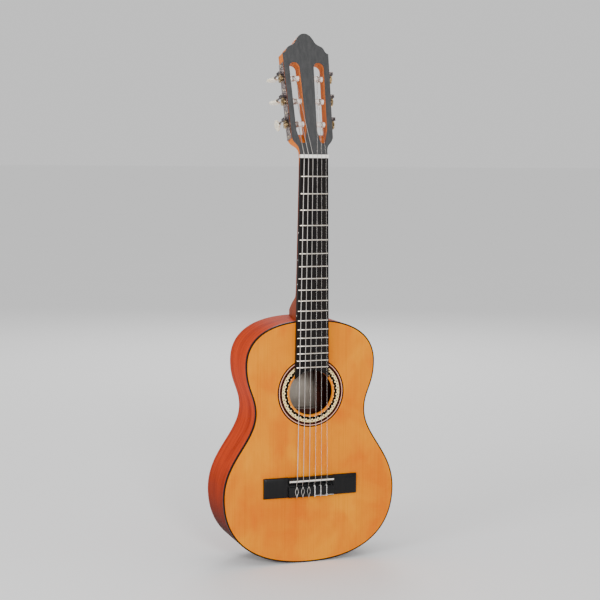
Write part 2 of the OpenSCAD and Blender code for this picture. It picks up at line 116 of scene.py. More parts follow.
BUTTON_PROFILE = ((-11.0, 2.2, 2.2), (-10.6, 2.8, 2.8), (-9.6, 3.0, 2.9), (-8.6, 2.7, 2.6), (-7.6, 2.9, 2.3),
                  (-6.6, 4.4, 2.05), (-5.4, 6.2, 2.05), (-4.0, 7.5, 2.1), (-2.0, 8.5, 2.15), (0.2, 8.7, 2.15),
                  (2.4, 8.45, 2.1), (4.6, 7.5, 2.0), (6.4, 5.9, 1.8), (7.6, 4.2, 1.5), (8.3, 2.6, 1.1),
                  (8.6, 1.0, 0.45))  # distance along the shaft, half width and half thickness
PADDLE_W, CUPPED_W = 4, 6  # half widths above which a button's ring is squarer, and is cupped
CUP, CUP_HALF_W, CUP_HALF_L = 0.13, 5.5, 6.5  # share of the thickness, and how far the cup reaches
GEAR_X, GEAR_OFFSET, BUTTON_Y = 5.0, 8.0, 34.0

# ---------------------------------------------------------------- numbers for the mesh and material tools
WELD, CAD_WELD = 1e-7, 2e-6  # metres
FLAT = math.radians(0.5)
TIP_LENGTH, TIP_WIDTH = 0.35, 0.55  # a tube's eased end, as shares of its radius
MIX_SHARE, MIX_A, MIX_B, MIX_OUT = 0, 6, 7, 2  # a colour mix node's sockets
UPRIGHT = (0, 0, 1)


def mix(a, b, t):
    return a + (b - a) * t


def bezier(p, t):
    s = 1 - t
    return [s**3 * a + 3 * s * s * t * b + 3 * s * t * t * c + t**3 * d for a, b, c, d in zip(*p)]


def slope(p, t):
    s = 1 - t
    return [s * s * (b - a) + 2 * s * t * (c - b) + t * t * (d - c) for a, b, c, d in zip(*p)]


def back_y(z):
    """Where the back's outer face is, at a height on the body."""
    return HEEL_DEPTH + (TAIL_DEPTH - HEEL_DEPTH) * (BODY_TOP - z) / (BODY_TOP - BODY_TAIL)


def board_half(z):
    return NUT_HALF + (JOINT_WIDTH / 2 - NUT_HALF) * z / BODY_TOP


def fret_z(n):
    return -SCALE_LENGTH * (1 - 2 ** (-n / 12))


# ---------------------------------------------------------------- mesh making
def add_mesh(name, points, faces, materials, sharp=32):
    """A mesh object from points in millimetres, smooth apart from its corners."""
    mesh = bpy.data.meshes.new(name)
    mesh.from_pydata([Vector(p) * MM for p in points], [], faces)
    for m in materials:
        mesh.materials.append(m)
    return finish_mesh(name, mesh, sharp)


def smooth_faces(bm, sharp):
    """Smooth faces, with the edges that turn by more than an angle left sharp."""
    for face in bm.faces:
        face.smooth = True
    for edge in bm.edges:
        edge.smooth = len(edge.link_faces) == 2 and edge.calc_face_angle(0) < math.radians(sharp)


def round_edges(bm, turn, width, segments, shortest=0.0):
    """Rounds over the edges that turn by more than an angle and are longer than a length."""
    edges = [e for e in bm.edges if len(e.link_faces) == 2 and e.calc_length() > shortest * MM
             and e.calc_face_angle(0) > math.radians(turn)]
    bmesh.ops.bevel(bm, geom=edges, offset=width * MM, segments=segments, profile=0.5, affect="EDGES",
                    clamp_overlap=True)


def finish_mesh(name, mesh, sharp):
    """Welds a mesh, turns its faces outwards and puts it in the scene."""
    bm = bmesh.new()
    bm.from_mesh(mesh)
    bmesh.ops.remove_doubles(bm, verts=bm.verts, dist=WELD)
    bmesh.ops.recalc_face_normals(bm, faces=bm.faces)
    smooth_faces(bm, sharp)
    bm.to_mesh(mesh)
    bm.free()
    return in_scene(name, mesh)


def in_scene(name, mesh):
    obj = bpy.data.objects.new(name, mesh)
    bpy.context.scene.collection.objects.link(obj)
    return obj


def even_shading(obj):
    """Lets large faces set the shading at rounded edges."""
    modifier = obj.modifiers.new("even_shading", "WEIGHTED_NORMAL")
    modifier.keep_sharp = True
    modifier.weight = 90


def place(obj, body, slot, *nodes):
    """Puts a finished piece on its body and hides the CAD nodes it stands for; the slot is not used."""
    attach(obj, body)
    if nodes:
        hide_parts(*nodes)
    return obj


def loft(name, rings, materials, closed=False, sharp=32):
    """A skin over rings of points; closed joins the last ring to the first, else the ends are filled."""
    n, count = len(rings[0]), len(rings)
    points = [p for ring in rings for p in ring]
    faces = []
    for r in range(count if closed else count - 1):
        for i in range(n):
            a, b = r * n, (r + 1) % count * n
            faces.append((a + i, a + (i + 1) % n, b + (i + 1) % n, b + i))
    if not closed:
        faces += [tuple(range(n))[::-1], tuple(range((count - 1) * n, count * n))]
    return add_mesh(name, points, faces, materials, sharp)


def tube(name, path, radius, materials, sides=12):
    """A round tube along a path of points, with eased ends."""
    pts = [Vector(p) for p in path]
    last = len(pts) - 1
    tangents = [(pts[min(i + 1, last)] - pts[max(i - 1, 0)]).normalized() for i in range(last + 1)]
    normal = tangents[0].orthogonal().normalized()
    angles = [TAU * j / sides for j in range(sides)]
    loops = []
    for p, tangent in zip(pts, tangents):
        normal = (normal - normal.dot(tangent) * tangent).normalized()
        side = tangent.cross(normal)
        circle = [(normal * math.cos(a) + side * math.sin(a)) * radius for a in angles]
        tip = tangent * radius * TIP_LENGTH
        if not loops:
            loops.append([p - tip + c * TIP_WIDTH for c in circle])
        loops.append([p + c for c in circle])
    loops.append([p + tip + c * TIP_WIDTH for c in circle])
    return loft(name, loops, materials, sharp=60)


def smooth_path(points, per_span):
    """A Catmull-Rom curve through points."""
    pts = [Vector(p) for p in points]
    pts = [2 * pts[0] - pts[1]] + pts + [2 * pts[-1] - pts[-2]]
    out = []
    for i in range(1, len(pts) - 2):
        a, b, c, d = pts[i - 1:i + 3]
        for j in range(per_span):
            t = j / per_span
            out.append(0.5 * (2 * b + (c - a) * t + (2 * a - 5 * b + 4 * c - d) * t * t
                              + (3 * b - a - 3 * c + d) * t**3))
    return out + [pts[-2]]


def join(name, objects):
    """Several meshes as one object, keeping each face's material."""
    materials, points, faces, indices, smooth, sharp = [], [], [], [], [], []
    for obj in objects:
        base = len(points)
        points += [v.co.copy() for v in obj.data.vertices]
        for m in obj.data.materials:
            if m not in materials:
                materials.append(m)
        for p in obj.data.polygons:
            faces.append([base + v for v in p.vertices])
            indices.append(materials.index(obj.data.materials[p.material_index]))
            smooth.append(p.use_smooth)
        sharp += [(base + e.vertices[0], base + e.vertices[1]) for e in obj.data.edges if e.use_edge_sharp]
        bpy.data.objects.remove(obj)
    mesh = bpy.data.meshes.new(name)
    mesh.from_pydata(points, [], faces)
    for m in materials:
        mesh.materials.append(m)
    mesh.polygons.foreach_set("material_index", indices)
    mesh.polygons.foreach_set("use_smooth", smooth)
    edges = {tuple(sorted(e.vertices)): e for e in mesh.edges}
    for pair in sharp:
        edges[tuple(sorted(pair))].use_edge_sharp = True
    return in_scene(name, mesh)


def soften(name, node, material, body, slot, width, shortest=0.7, sharp=30):
    """A copy of a CAD node with its long edges rounded over, standing for that node."""
    bm = bmesh.new()
    bm.from_mesh(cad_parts[node].data)
    bmesh.ops.remove_doubles(bm, verts=bm.verts, dist=CAD_WELD)
    bmesh.ops.dissolve_limit(bm, angle_limit=FLAT, verts=bm.verts, edges=bm.edges)
    if width:
        round_edges(bm, 40, width, 3, shortest)
    mesh = bpy.data.meshes.new(name)
    bm.to_mesh(mesh)
    bm.free()
    mesh.materials.append(material)
    for p in mesh.polygons:
        p.material_index = 0
    obj = finish_mesh(name, mesh, sharp)
    if width:
        even_shading(obj)
    return place(obj, body, slot, node)


def bar(name, section, half, material, width):
    """A bar across the guitar from a section in Y and Z, with rounded edges."""
    n = len(section)
    points = [(x, y, z) for x in (-half, half) for y, z in section]
    faces = [tuple(range(n))[::-1], tuple(range(n, 2 * n))]
    faces += [(i, (i + 1) % n, n + (i + 1) % n, n + i) for i in range(n)]
    obj = add_mesh(name, points, faces, material, 30)
    bm = bmesh.new()
    bm.from_mesh(obj.data)
    round_edges(bm, 25, width, 4)
    smooth_faces(bm, 30)
    bm.to_mesh(obj.data)
    bm.free()
    return obj


def set_grain(obj, values):
    """Stores a coordinate along, across and into the wood at each point, for the grain to follow."""
    layer = obj.data.attributes.new("grain", "FLOAT_VECTOR", "POINT")
    for item, value in zip(layer.data, values):
        item.vector = Vector(value) * MM


# ---------------------------------------------------------------- materials
class Shader:
    """A small builder of node materials around one Principled shader."""

    def __init__(self, name, **values):
        self.material = bpy.data.materials.new(name)
        self.material.use_nodes = True
        self.tree = self.material.node_tree
        self.bsdf = self.tree.nodes["Principled BSDF"]
        for key, value in values.items():
            self.bsdf.inputs[key.replace("_", " ")].default_value = value

    def node(self, kind, **inputs):
        made = self.tree.nodes.new(kind)
        for key, value in inputs.items():
            self.plug(made, key, value)
        return made

    def plug(self, node, socket, value):
        """Links an output to a socket, or sets the socket's constant value."""
        if isinstance(value, bpy.types.NodeSocket):
            self.tree.links.new(value, node.inputs[socket])
        else:
            node.inputs[socket].default_value = value

    def coordinates(self, scale, attribute=None):
        """Object coordinates, or a stored attribute, stretched along the grain."""
        if attribute:
            source = self.tree.nodes.new("ShaderNodeAttribute")
            source.attribute_name = attribute
            vector = source.outputs["Vector"]
        else:
            vector = self.tree.nodes.new("ShaderNodeTexCoord").outputs["Object"]
        mapping = self.node("ShaderNodeMapping", Vector=vector)
        mapping.inputs["Scale"].default_value = scale
        return mapping.outputs["Vector"]

    def noise(self, vector, detail=4.0, rough=0.55, distortion=0.0):
        made = self.node("ShaderNodeTexNoise", Vector=vector, Scale=1.0, Detail=detail)
        made.inputs["Roughness"].default_value = rough
        made.inputs["Distortion"].default_value = distortion
        return made.outputs["Fac"]

    def ramp(self, fac, stops):
        made = self.node("ShaderNodeValToRGB", Fac=fac)
        elements = made.color_ramp.elements
        while len(elements) < len(stops):
            elements.new(0.5)
        for element, (position, color) in zip(elements, stops):
            element.position = position
            element.color = (*color, 1)
        return made.outputs["Color"]

    def blend(self, fac, a, b):
        """A mix from one colour to another, each given as three values or an output."""
        made = self.tree.nodes.new("ShaderNodeMix")
        made.data_type = "RGBA"
        for index, value in ((MIX_SHARE, fac), (MIX_A, a), (MIX_B, b)):
            self.plug(made, index, (*value, 1) if isinstance(value, tuple) else value)
        return made.outputs[MIX_OUT]

    def span(self, fac, low, high, start=0.0, end=1.0):
        """Low up to the start, high from the end, and an even change between."""
        made = self.node("ShaderNodeMapRange", Value=fac)
        for key, value in (("From Min", start), ("From Max", end), ("To Min", low), ("To Max", high)):
            made.inputs[key].default_value = value
        return made.outputs["Result"]

    def height(self, low, high, start, end):
        """A span between two heights on the guitar, in millimetres."""
        split = self.tree.nodes.new("ShaderNodeSeparateXYZ")
        self.plug(split, 0, self.coordinates((1, 1, 1)))
        return self.span(split.outputs["Z"], low, high, start * MM, end * MM)

    def bump(self, height, strength, distance):
        made = self.node("ShaderNodeBump", Height=height)
        made.inputs["Strength"].default_value = strength
        made.inputs["Distance"].default_value = distance
        return made.outputs["Normal"]

    def done(self, color, rough, normal=None):
        self.plug(self.bsdf, "Base Color", color)
        self.plug(self.bsdf, "Roughness", rough)
        if normal is not None:
            self.plug(self.bsdf, "Normal", normal)
        return self.material


def spruce():
    """Orange lacquered spruce: fine straight grain up the body and soft cloudy colour."""
    s = Shader("spruce_top", Specular_IOR_Level=0.05)
    lines = s.noise(s.coordinates((520, 3, 5)), 3.0, 0.6)
    fibres = s.noise(s.coordinates((2400, 3, 60)), 2.0, 0.5)
    clouds = s.noise(s.coordinates((13, 9, 9)), 3.0, 0.55, 0.6)
    patches = s.noise(s.coordinates((30, 9, 16)), 2.0, 0.5, 0.4)
    silk = s.noise(s.coordinates((60, 30, 420)), 2.0, 0.5, 0.4)
    base = s.blend(s.height(0, 1, BODY_TOP, BODY_TAIL), (0.70, 0.205, 0.0006), (0.68, 0.160, 0.0005))
    base = s.blend(s.span(clouds, 0, 1.0, 0.38, 0.64), base, (0.78, 0.270, 0.0010))
    base = s.blend(s.span(patches, 0, 0.55, 0.48, 0.70), base, (0.66, 0.122, 0.0005))
    base = s.blend(s.span(lines, 0, 0.24, 0.48, 0.72), base, (0.46, 0.066, 0.0005))
    base = s.blend(s.span(fibres, 0.0, 0.14, 0.45, 0.7), base, (0.46, 0.075, 0.0005))
    base = s.blend(s.span(silk, 0.0, 0.10, 0.5, 0.75), base, (0.80, 0.29, 0.008))
    return s.done(base, s.span(clouds, 0.30, 0.40), s.bump(lines, 0.10, 0.0004))


def mahogany(name, light, dark, rough, level, along=UPRIGHT, attribute=None, tail_shade=None):
    """Open-pored red-brown wood under satin lacquer; an optional painted shade darkens it below a height on
    the guitar.
    """
    s = Shader(name, Specular_IOR_Level=level)

    def stretched(fine, long):
        return s.coordinates(tuple(long if a else fine for a in along), attribute=attribute)

    middle = tuple(mix(a, b, 0.62) for a, b in zip(dark, light))
    figure = s.noise(stretched(60, 6), 4.0, 0.6, 0.5)
    streaks = s.noise(stretched(420, 8), 3.0, 0.6)
    pores = s.noise(stretched(2600, 110), 2.0, 0.4)
    color = s.ramp(figure, [(0.30, dark), (0.46, middle), (0.68, light)])
    color = s.blend(s.span(streaks, 0, 0.42, 0.46, 0.72), color, tuple(0.55 * c for c in dark))
    color = s.blend(s.span(pores, 0, 0.55, 0.60, 0.74), color, tuple(0.25 * c for c in dark))
    # painted shade: the colour goes dark between two heights towards the tail
    if tail_shade:
        low, high, shade_color = tail_shade
        color = s.blend(s.height(0.95, 0, low, high), color, shade_color)
    normal = s.bump(s.span(pores, 1, 0, 0.58, 0.74), 0.25, 0.00025)
    return s.done(color, s.span(figure, rough - 0.05, rough + 0.07), normal)


def black_wood(name, base, streak, rough, level):
    """Black-stained close-grained wood, with faint brown streaks and a satin sheen."""
    s = Shader(name, Specular_IOR_Level=level)
    figure = s.noise(s.coordinates((260, 260, 6)), 4.0, 0.6, 0.3)
    pores = s.noise(s.coordinates((2600, 2600, 90)), 2.0, 0.5)
    color = s.ramp(figure, [(0.35, base), (0.75, streak)])
    color = s.blend(s.span(pores, 0, 0.6, 0.58, 0.75), color, tuple(0.4 * c for c in base))
    rub = s.noise(s.coordinates((22, 22, 14)), 3.0, 0.6)
    normal = s.bump(s.span(pores, 1, 0, 0.55, 0.75), 0.22, 0.0002)
    return s.done(color, s.span(rub, rough - 0.07, rough + 0.09, 0.3, 0.7), normal)


def plain_wood(name, light, dark, scale):
    """Bare sawn wood, as inside the body."""
    s = Shader(name, Specular_IOR_Level=0.2)
    figure = s.noise(s.coordinates(scale), 4.0, 0.6, 0.4)
    patches = s.noise(s.coordinates((14, 14, 14)), 3.0)
    color = s.blend(s.span(figure, 0, 0.8, 0.4, 0.7), light, dark)
    color = s.blend(s.span(patches, 0, 0.4, 0.45, 0.7), color, dark)
    return s.done(color, s.span(figure, 0.56, 0.70), s.bump(figure, 0.35, 0.0003))


def plastic(name, color, tint, rough, grime=0.25, scale=160, **values):
    """Moulded or polished plastic or bone, faintly clouded and rubbed."""
    s = Shader(name, **values)
    clouds = s.noise(s.coordinates((scale, scale, scale)), 4.0, 0.6)
    wear = s.noise(s.coordinates((900, 900, 900)), 3.0, 0.6)
    shade = s.blend(s.span(clouds, 0, grime, 0.4, 0.7), color, tint)
    return s.done(shade, s.span(wear, rough - 0.06, rough + 0.08), s.bump(wear, 0.06, 0.0001))


def pearloid():
    """Cream pearl plastic with folded, cloudy flakes."""
    s = Shader("pearloid", Coat_Weight=0.6, Coat_Roughness=0.08)
    folds = s.noise(s.coordinates((130, 130, 130)), 5.0, 0.65, 2.4)
    flakes = s.noise(s.coordinates((420, 300, 420)), 3.0, 0.6, 1.2)
    color = s.ramp(folds, [(0.30, (0.58, 0.47, 0.28)), (0.50, (0.86, 0.77, 0.58)),
                           (0.68, (0.96, 0.91, 0.78))])
    color = s.blend(s.span(flakes, 0, 0.5, 0.45, 0.7), color, (0.98, 0.95, 0.86))
    return s.done(color, s.span(folds, 0.16, 0.28), s.bump(flakes, 0.05, 0.0002))


def metal(name, color, tint, rough, brushed=(1, 1, 1)):
    """Plated or brushed metal with fine scratches and tarnish in patches."""
    s = Shader(name, Metallic=1.0)
    scratches = s.noise(s.coordinates(tuple(1500 * b for b in brushed)), 3.0, 0.6)
    tarnish = s.noise(s.coordinates((240, 240, 240)), 4.0, 0.6, 0.5)
    shade = s.blend(s.span(tarnish, 0, 0.85, 0.42, 0.62), color, tint)
    return s.done(shade, s.span(scratches, rough - 0.07, rough + 0.1), s.bump(scratches, 0.08, 0.0001))


def engraved_plate():
    """Nickel plate engraved all over with leaves and curls, with dark filled lines."""
    s = Shader("engraved_nickel", Metallic=1.0)
    flat = s.coordinates((1, 1, 1), attribute="grain")
    leaves = s.tree.nodes.new("ShaderNodeTexVoronoi")
    leaves.feature = "DISTANCE_TO_EDGE"
    s.plug(leaves, "Vector", flat)
    leaves.inputs["Scale"].default_value = 240
    curls = s.node("ShaderNodeTexWave", Vector=flat, Scale=170.0, Distortion=10.0, Detail=2.0)
    veins = s.span(leaves.outputs["Distance"], 0, 1, 0.03, 0.16)
    lines = s.blend(0.55, veins, curls.outputs["Color"])
    tarnish = s.noise(s.coordinates((200, 200, 200)), 4.0, 0.6, 0.5)
    shade = s.blend(s.span(tarnish, 0, 0.8, 0.40, 0.64), (0.60, 0.50, 0.47), (0.17, 0.12, 0.14))
    shade = s.blend(s.span(lines, 0.96, 0, 0.30, 0.74), shade, (0.030, 0.018, 0.022))
    return s.done(shade, s.span(tarnish, 0.20, 0.34), s.bump(lines, 0.8, 0.0005))


def wound_string():
    """Silver-plated wire wound round a core: fine ridges all along, with painted shade in the grooves between
    them.
    """
    s = Shader("wound_silver", Metallic=0.85)
    ridges = s.tree.nodes.new("ShaderNodeTexWave")
    ridges.bands_direction = "Z"
    s.plug(ridges, "Vector", s.coordinates((1, 1, 1)))
    ridges.inputs["Scale"].default_value = 1250.0
    tarnish = s.noise(s.coordinates((300, 300, 60)), 3.0)
    shade = s.blend(s.span(tarnish, 0, 0.6, 0.4, 0.7), (0.56, 0.53, 0.50), (0.42, 0.39, 0.36))
    # painted shade: darker in the grooves between the turns of wire
    shade = s.blend(s.span(ridges.outputs["Fac"], 0.22, 0, 0.0, 0.5), shade, (0.18, 0.165, 0.15))
    return s.done(shade, s.span(tarnish, 0.24, 0.36), s.bump(ridges.outputs["Fac"], 0.4, 0.00008))


def nylon(name, weight, light, milk):
    """Clear or slightly milky nylon."""
    s = Shader(name, IOR=1.16, Transmission_Weight=weight, Specular_IOR_Level=0.5)
    clouds = s.noise(s.coordinates((500, 500, 60)), 2.0)
    return s.done(s.blend(s.span(clouds, 0, 1), light, milk), s.span(clouds, 0.10, 0.20))


def paper():
    """A blank aged label."""
    s = Shader("label_paper", Specular_IOR_Level=0.2)
    fibres = s.noise(s.coordinates((900, 900, 900)), 3.0)
    stains = s.noise(s.coordinates((45, 45, 45)), 4.0, 0.6)
    shade = s.blend(s.span(stains, 0, 0.8, 0.35, 0.75), (0.60, 0.54, 0.46), (0.36, 0.31, 0.25))
    return s.done(shade, s.span(fibres, 0.7, 0.85), s.bump(fibres, 0.3, 0.0001))


def inlay(name, color, tint, grime=0.25, level=0.1):
    """A ring or a tile of the rosette, under the top's lacquer."""
    return plastic(name, color, tint, 0.34, grime, Specular_IOR_Level=level)


TOP = spruce()
# painted shade on the sides towards the tail: the heights in millimetres where it is full and where it fades
# out, and its dark colour
PAINTED_TAIL_SHADE = (-562, -455, (0.013, 0.0011, 0.0005))
SIDES = mahogany("lacquered_sides", (0.61, 0.058, 0.012), (0.22, 0.014, 0.004), 0.46, 0.012,
                 along=(1, 0, 0), attribute="grain", tail_shade=PAINTED_TAIL_SHADE)
BACK = mahogany("lacquered_back", (0.42, 0.052, 0.014), (0.16, 0.015, 0.005), 0.36, 0.10)
# the neck's own red-brown, darkened further by painted shade
NECK_SHADED = mahogany("neck_wood", (0.31, 0.052, 0.012), (0.14, 0.019, 0.005), 0.44, 0.02)
HEAD = mahogany("head_wood", (0.74, 0.200, 0.022), (0.45, 0.095, 0.010), 0.42, 0.06)
BLACK = black_wood("black_fingerboard", (0.0065, 0.0058, 0.0064), (0.015, 0.012, 0.011), 0.44, 0.06)
BRIDGE_BLACK = black_wood("black_bridge", (0.0025, 0.0025, 0.003), (0.006, 0.0055, 0.006), 0.30, 0.22)
VENEER = black_wood("head_veneer_black", (0.052, 0.053, 0.054), (0.076, 0.075, 0.076), 0.46, 0.08)
INNER = plain_wood("bare_inner_wood", (0.15, 0.055, 0.020), (0.08, 0.028, 0.010), (420, 420, 12))
INNER_BACK = plain_wood("dark_inner_back", (0.092, 0.020, 0.010), (0.048, 0.010, 0.006), (12, 420, 420))
BINDING = plastic("dark_binding", (0.008, 0.003, 0.003), (0.018, 0.006, 0.004), 0.36, Specular_IOR_Level=0.06)
STRIP = plastic("dark_strip", (0.030, 0.009, 0.006), (0.05, 0.014, 0.008), 0.32, Specular_IOR_Level=0.18)
BONE = plastic("white_bone", (0.94, 0.92, 0.86), (0.84, 0.79, 0.68), 0.30)
ROLLER_WHITE = plastic("roller_white", (0.93, 0.91, 0.86), (0.84, 0.80, 0.70), 0.28)
DOT = plastic("dot_pearl", (0.86, 0.84, 0.78), (0.66, 0.66, 0.62), 0.2)
DARK_LINE = inlay("rosette_dark", (0.026, 0.003, 0.002), (0.046, 0.007, 0.004), level=0.07)
BEIGE_LINE = inlay("rosette_beige", (0.90, 0.48, 0.33), (0.78, 0.36, 0.22))
CREAM = inlay("rosette_cream", (0.98, 0.76, 0.36), (0.95, 0.64, 0.24), 0.6)
PALE = inlay("rosette_pale", (0.98, 0.88, 0.62), (0.95, 0.80, 0.48), 0.5)
AMBER_LINE = inlay("rosette_amber", (0.80, 0.27, 0.05), (0.68, 0.19, 0.02), 0.6)
TILE = inlay("rosette_tile", (0.004, 0.003, 0.002), (0.012, 0.006, 0.004), level=0.05)
SPECK = inlay("rosette_speck", (0.030, 0.009, 0.004), (0.070, 0.024, 0.009), level=0.15)
PAPER = paper()
PEARL = pearloid()
FRET = metal("fret_silver", (0.93, 0.86, 0.76), (0.80, 0.70, 0.56), 0.24, (0.1, 1, 1))
PLATE = engraved_plate()
SCREW = metal("screw_nickel", (0.78, 0.72, 0.58), (0.40, 0.32, 0.22), 0.28)
BRASS = metal("gear_brass", (0.72, 0.54, 0.30), (0.10, 0.065, 0.03), 0.24)
# painted reflection: the steel's grey is darkened to near black, standing in for reflected dark surroundings
STEEL_DARKENED = metal("worm_steel", (0.13, 0.12, 0.12), (0.05, 0.045, 0.045), 0.22, (1, 0.2, 1))
WOUND = wound_string()
NYLON = nylon("clear_nylon", 0.80, (0.74, 0.71, 0.68), (0.84, 0.81, 0.78))
KNOT_NYLON = nylon("knot_nylon", 0.35, (0.76, 0.74, 0.72), (0.90, 0.88, 0.86))

# ---------------------------------------------------------------- camera, light and floor
YAW, PITCH, ROLL = 0.346, 0.103, 0.009
AIM = Vector((16.48, 2120.9, -119.2))
CENTRE = Vector((0, 0, -330))
SENSOR, LENS = 36, 85.092
FLOOR_GAP, FLOOR_REACH = 0.4, 60000
SURROUNDING = 0.82
LIGHTS = (  # name, place and target in metres, size and power
    ("key", (-0.25, -2.7, 0.45), (0, 0, -0.35), (0.5, 0.5), 38),
    ("left", (-2.3, -1.1, 0.25), (0, 0, -0.35), (0.9, 1.4), 32),
    ("rear", (0.8, 2.4, 1.2), (0, 0, -0.2), (1.2, 1.2), 26),
)
FLOOR = plastic("floor_white", (0.93, 0.93, 0.93), (0.90, 0.90, 0.90), 0.8, scale=3, Specular_IOR_Level=0.1)


def make_camera():
    """A long lens from the front left, a little above the middle of the guitar."""
    turn = Matrix.Rotation(ROLL, 3, "Y") @ Matrix.Rotation(PITCH, 3, "X") @ Matrix.Rotation(YAW, 3, "Z")
    back_turn = turn.transposed()
    right, forward, up = (back_turn @ Vector(v) for v in ((1, 0, 0), (0, 1, 0), (0, 0, 1)))
    data = bpy.data.cameras.new("camera")
    data.sensor_width = SENSOR
    data.lens = LENS
    data.clip_end = 100
    camera = bpy.data.objects.new("camera", data)
    camera.matrix_world = Matrix((right, up, -forward)).transposed().to_4x4()
    camera.location = (CENTRE - back_turn @ AIM) * MM
    bpy.context.scene.collection.objects.link(camera)
    bpy.context.scene.camera = camera


def make_light(name, spot, target, size, power):
    data = bpy.data.lights.new(name, "AREA")
    data.shape = "RECTANGLE"
    data.size, data.size_y = size
    data.energy = power
    light = bpy.data.objects.new(name, data)
    light.location = spot
    light.rotation_euler = (Vector(target) - Vector(spot)).to_track_quat("-Z", "Y").to_euler()
    bpy.context.scene.collection.objects.link(light)


def make_stage():
    """A pale floor under the tail, an even pale surrounding and soft lights, the main one in front."""
    z = BODY_TAIL - FLOOR_GAP
    corners = [(x * FLOOR_REACH, y * FLOOR_REACH, z) for x, y in ((-1, -1), (1, -1), (1, 1), (-1, 1))]
    floor = add_mesh("floor", corners, [(0, 1, 2, 3)], [FLOOR])
    world = bpy.data.worlds.new("studio")
    bpy.context.scene.world = world
    world.use_nodes = True
    surrounding = world.node_tree.nodes["Background"].inputs
    surrounding["Color"].default_value = (1.0, 1.0, 1.0, 1)
    surrounding["Strength"].default_value = SURROUNDING
    for light in LIGHTS:
        make_light(*light)


# ---------------------------------------------------------------- body
BODY_CURVES = (
    ((0, BODY_TOP), (66, BODY_TOP), (UPPER_HALF, UPPER_Z + 42), (UPPER_HALF, UPPER_Z)),
    ((UPPER_HALF, UPPER_Z), (UPPER_HALF, UPPER_Z - 36), (WAIST_HALF, WAIST_Z + 27), (WAIST_HALF, WAIST_Z)),
    ((WAIST_HALF, WAIST_Z), (WAIST_HALF, WAIST_Z - 42), (LOWER_HALF, LOWER_Z + 57), (LOWER_HALF, LOWER_Z)),
    ((LOWER_HALF, LOWER_Z), (LOWER_HALF, LOWER_Z - 66), (89, BODY_TAIL), (0, BODY_TAIL)),
)


def half_rim():
    """Points of the right half outline with their outward normals, from the neck to the tail."""
    out = []
    for curve in BODY_CURVES:
        for i in range(RIM_STEPS):
            t = i / RIM_STEPS
            x, z = bezier(curve, t)
            dx, dz = slope(curve, t)
            size = math.hypot(dx, dz)
            out.append((x, z, -dz / size, dx / size))
    out.append((0, BODY_TAIL, 0, -1))
    return out


HALF_RIM = half_rim()
RIM = HALF_RIM + [(-x, z, -nx, nz) for x, z, nx, nz in HALF_RIM[-2:0:-1]]


def on_rim(point, inset):
    x, z, nx, nz = point
    return x - inset * nx, z - inset * nz


def quarter_round(r, steps):
    """Insets and depths round a quarter circle, from the edge's side up to the face."""
    angles = [math.pi / 2 * i / steps for i in range(steps + 1)]
    return [(r * (1 - math.cos(a)), r * (1 - math.sin(a))) for a in angles]


def soundboard():
    """The top: a plate out to the binding, with a rounded soundhole and a seat for the rosette."""
    outside, margin = ROSETTE_R + 3, 7
    edge = [(BINDING_W, TOP_T), (BINDING_W, EASE), (BINDING_W + EASE, 0), (margin, 0)]
    rings = [[(on_rim(p, inset)[0], y, on_rim(p, inset)[1]) for p in RIM] for inset, y in edge]
    flat = rings[-1]
    angles = [math.atan2(z - HOLE_Z, x) for x, _, z in flat]
    circle = [(outside * math.cos(a), HOLE_Z + outside * math.sin(a)) for a in angles]
    for share in (0.35, 0.7):
        rings.append([(mix(x, cx, share), 0, mix(z, cz, share)) for (x, _, z), (cx, cz) in zip(flat, circle)])
    circles = [(outside, 0), (ROSETTE_R, 0), (ROSETTE_R, SEAT), (ROSETTE_IN, SEAT), (ROSETTE_IN, 0),
               (HOLE_R + 0.5, 0), (HOLE_R + 0.15, 0.15), (HOLE_R, 0.5), (HOLE_R, TOP_T)]
    rings += [[(r * math.cos(a), y, HOLE_Z + r * math.sin(a)) for a in angles] for r, y in circles]
    place(loft("soundboard_top", rings, [TOP], True), "root", "top_wood", "soundboard")


def swept_rim(name, section, rim, material, closed):
    """A section given as inset and depth, carried round the rim; a depth may depend on the height."""
    rings = []
    for p in rim:
        ring = []
        for inset, y in section:
            x, z = on_rim(p, inset)
            ring.append((x, y(p[1]) if callable(y) else y, z))
        rings.append(ring)
    return loft(name, rings, material, closed)


def binding():
    """A dark band round the top's edge, with its outer corner rounded."""
    seat = BINDING_W - 0.02
    section = [(seat, TOP_T), (seat, 0.0)] + quarter_round(BINDING_ROUND, 5)[::-1]
    section += [(0, BINDING_H), (SIDE_T, BINDING_H), (SIDE_T, TOP_T)]
    obj = swept_rim("binding_band", section, RIM, [BINDING], True)
    place(obj, "root", "binding_black", "top_binding")


def side_grain(obj, rim, sign):
    """Carries the grain's coordinate along a bent side, from a different start on each side."""
    travel, along = 0.0, []
    for i, p in enumerate(rim):
        travel += math.hypot(p[0] - rim[i - 1][0], p[1] - rim[i - 1][1]) if i else 0
        along.append((p[0], p[1], travel))
    values = []
    for v in obj.data.vertices:
        x, y, z = v.co / MM
        nearest = min(along, key=lambda a: (a[0] - x) ** 2 + (a[1] - z) ** 2)
        values.append((nearest[2] + GRAIN_START * sign, y, 0))
    set_grain(obj, values)


def sides():
    """Each side is a bent strip from the neck to the tail strip, with its grain along it."""
    half_strip, levels = 3.0, 7
    right = [p for p in HALF_RIM if p[0] > half_strip or p[1] > WAIST_Z]
    right.append((half_strip, BODY_TAIL, 0, -1))

    def rear(z):
        return back_y(z) - BACK_T

    def depth(share):
        return lambda z: mix(BINDING_H, rear(z), share)

    section = [(0, depth(s / levels)) for s in range(levels + 1)]
    section += [(SIDE_T, rear), (SIDE_T, BINDING_H)]
    for name, sign in (("treble_side", 1), ("bass_side", -1)):
        rim = [(sign * x, z, sign * nx, nz) for x, z, nx, nz in right]
        obj = swept_rim(f"{name}_bent", section, rim, [SIDES], False)
        side_grain(obj, rim, sign)
        place(obj, "root", "side_wood", name)


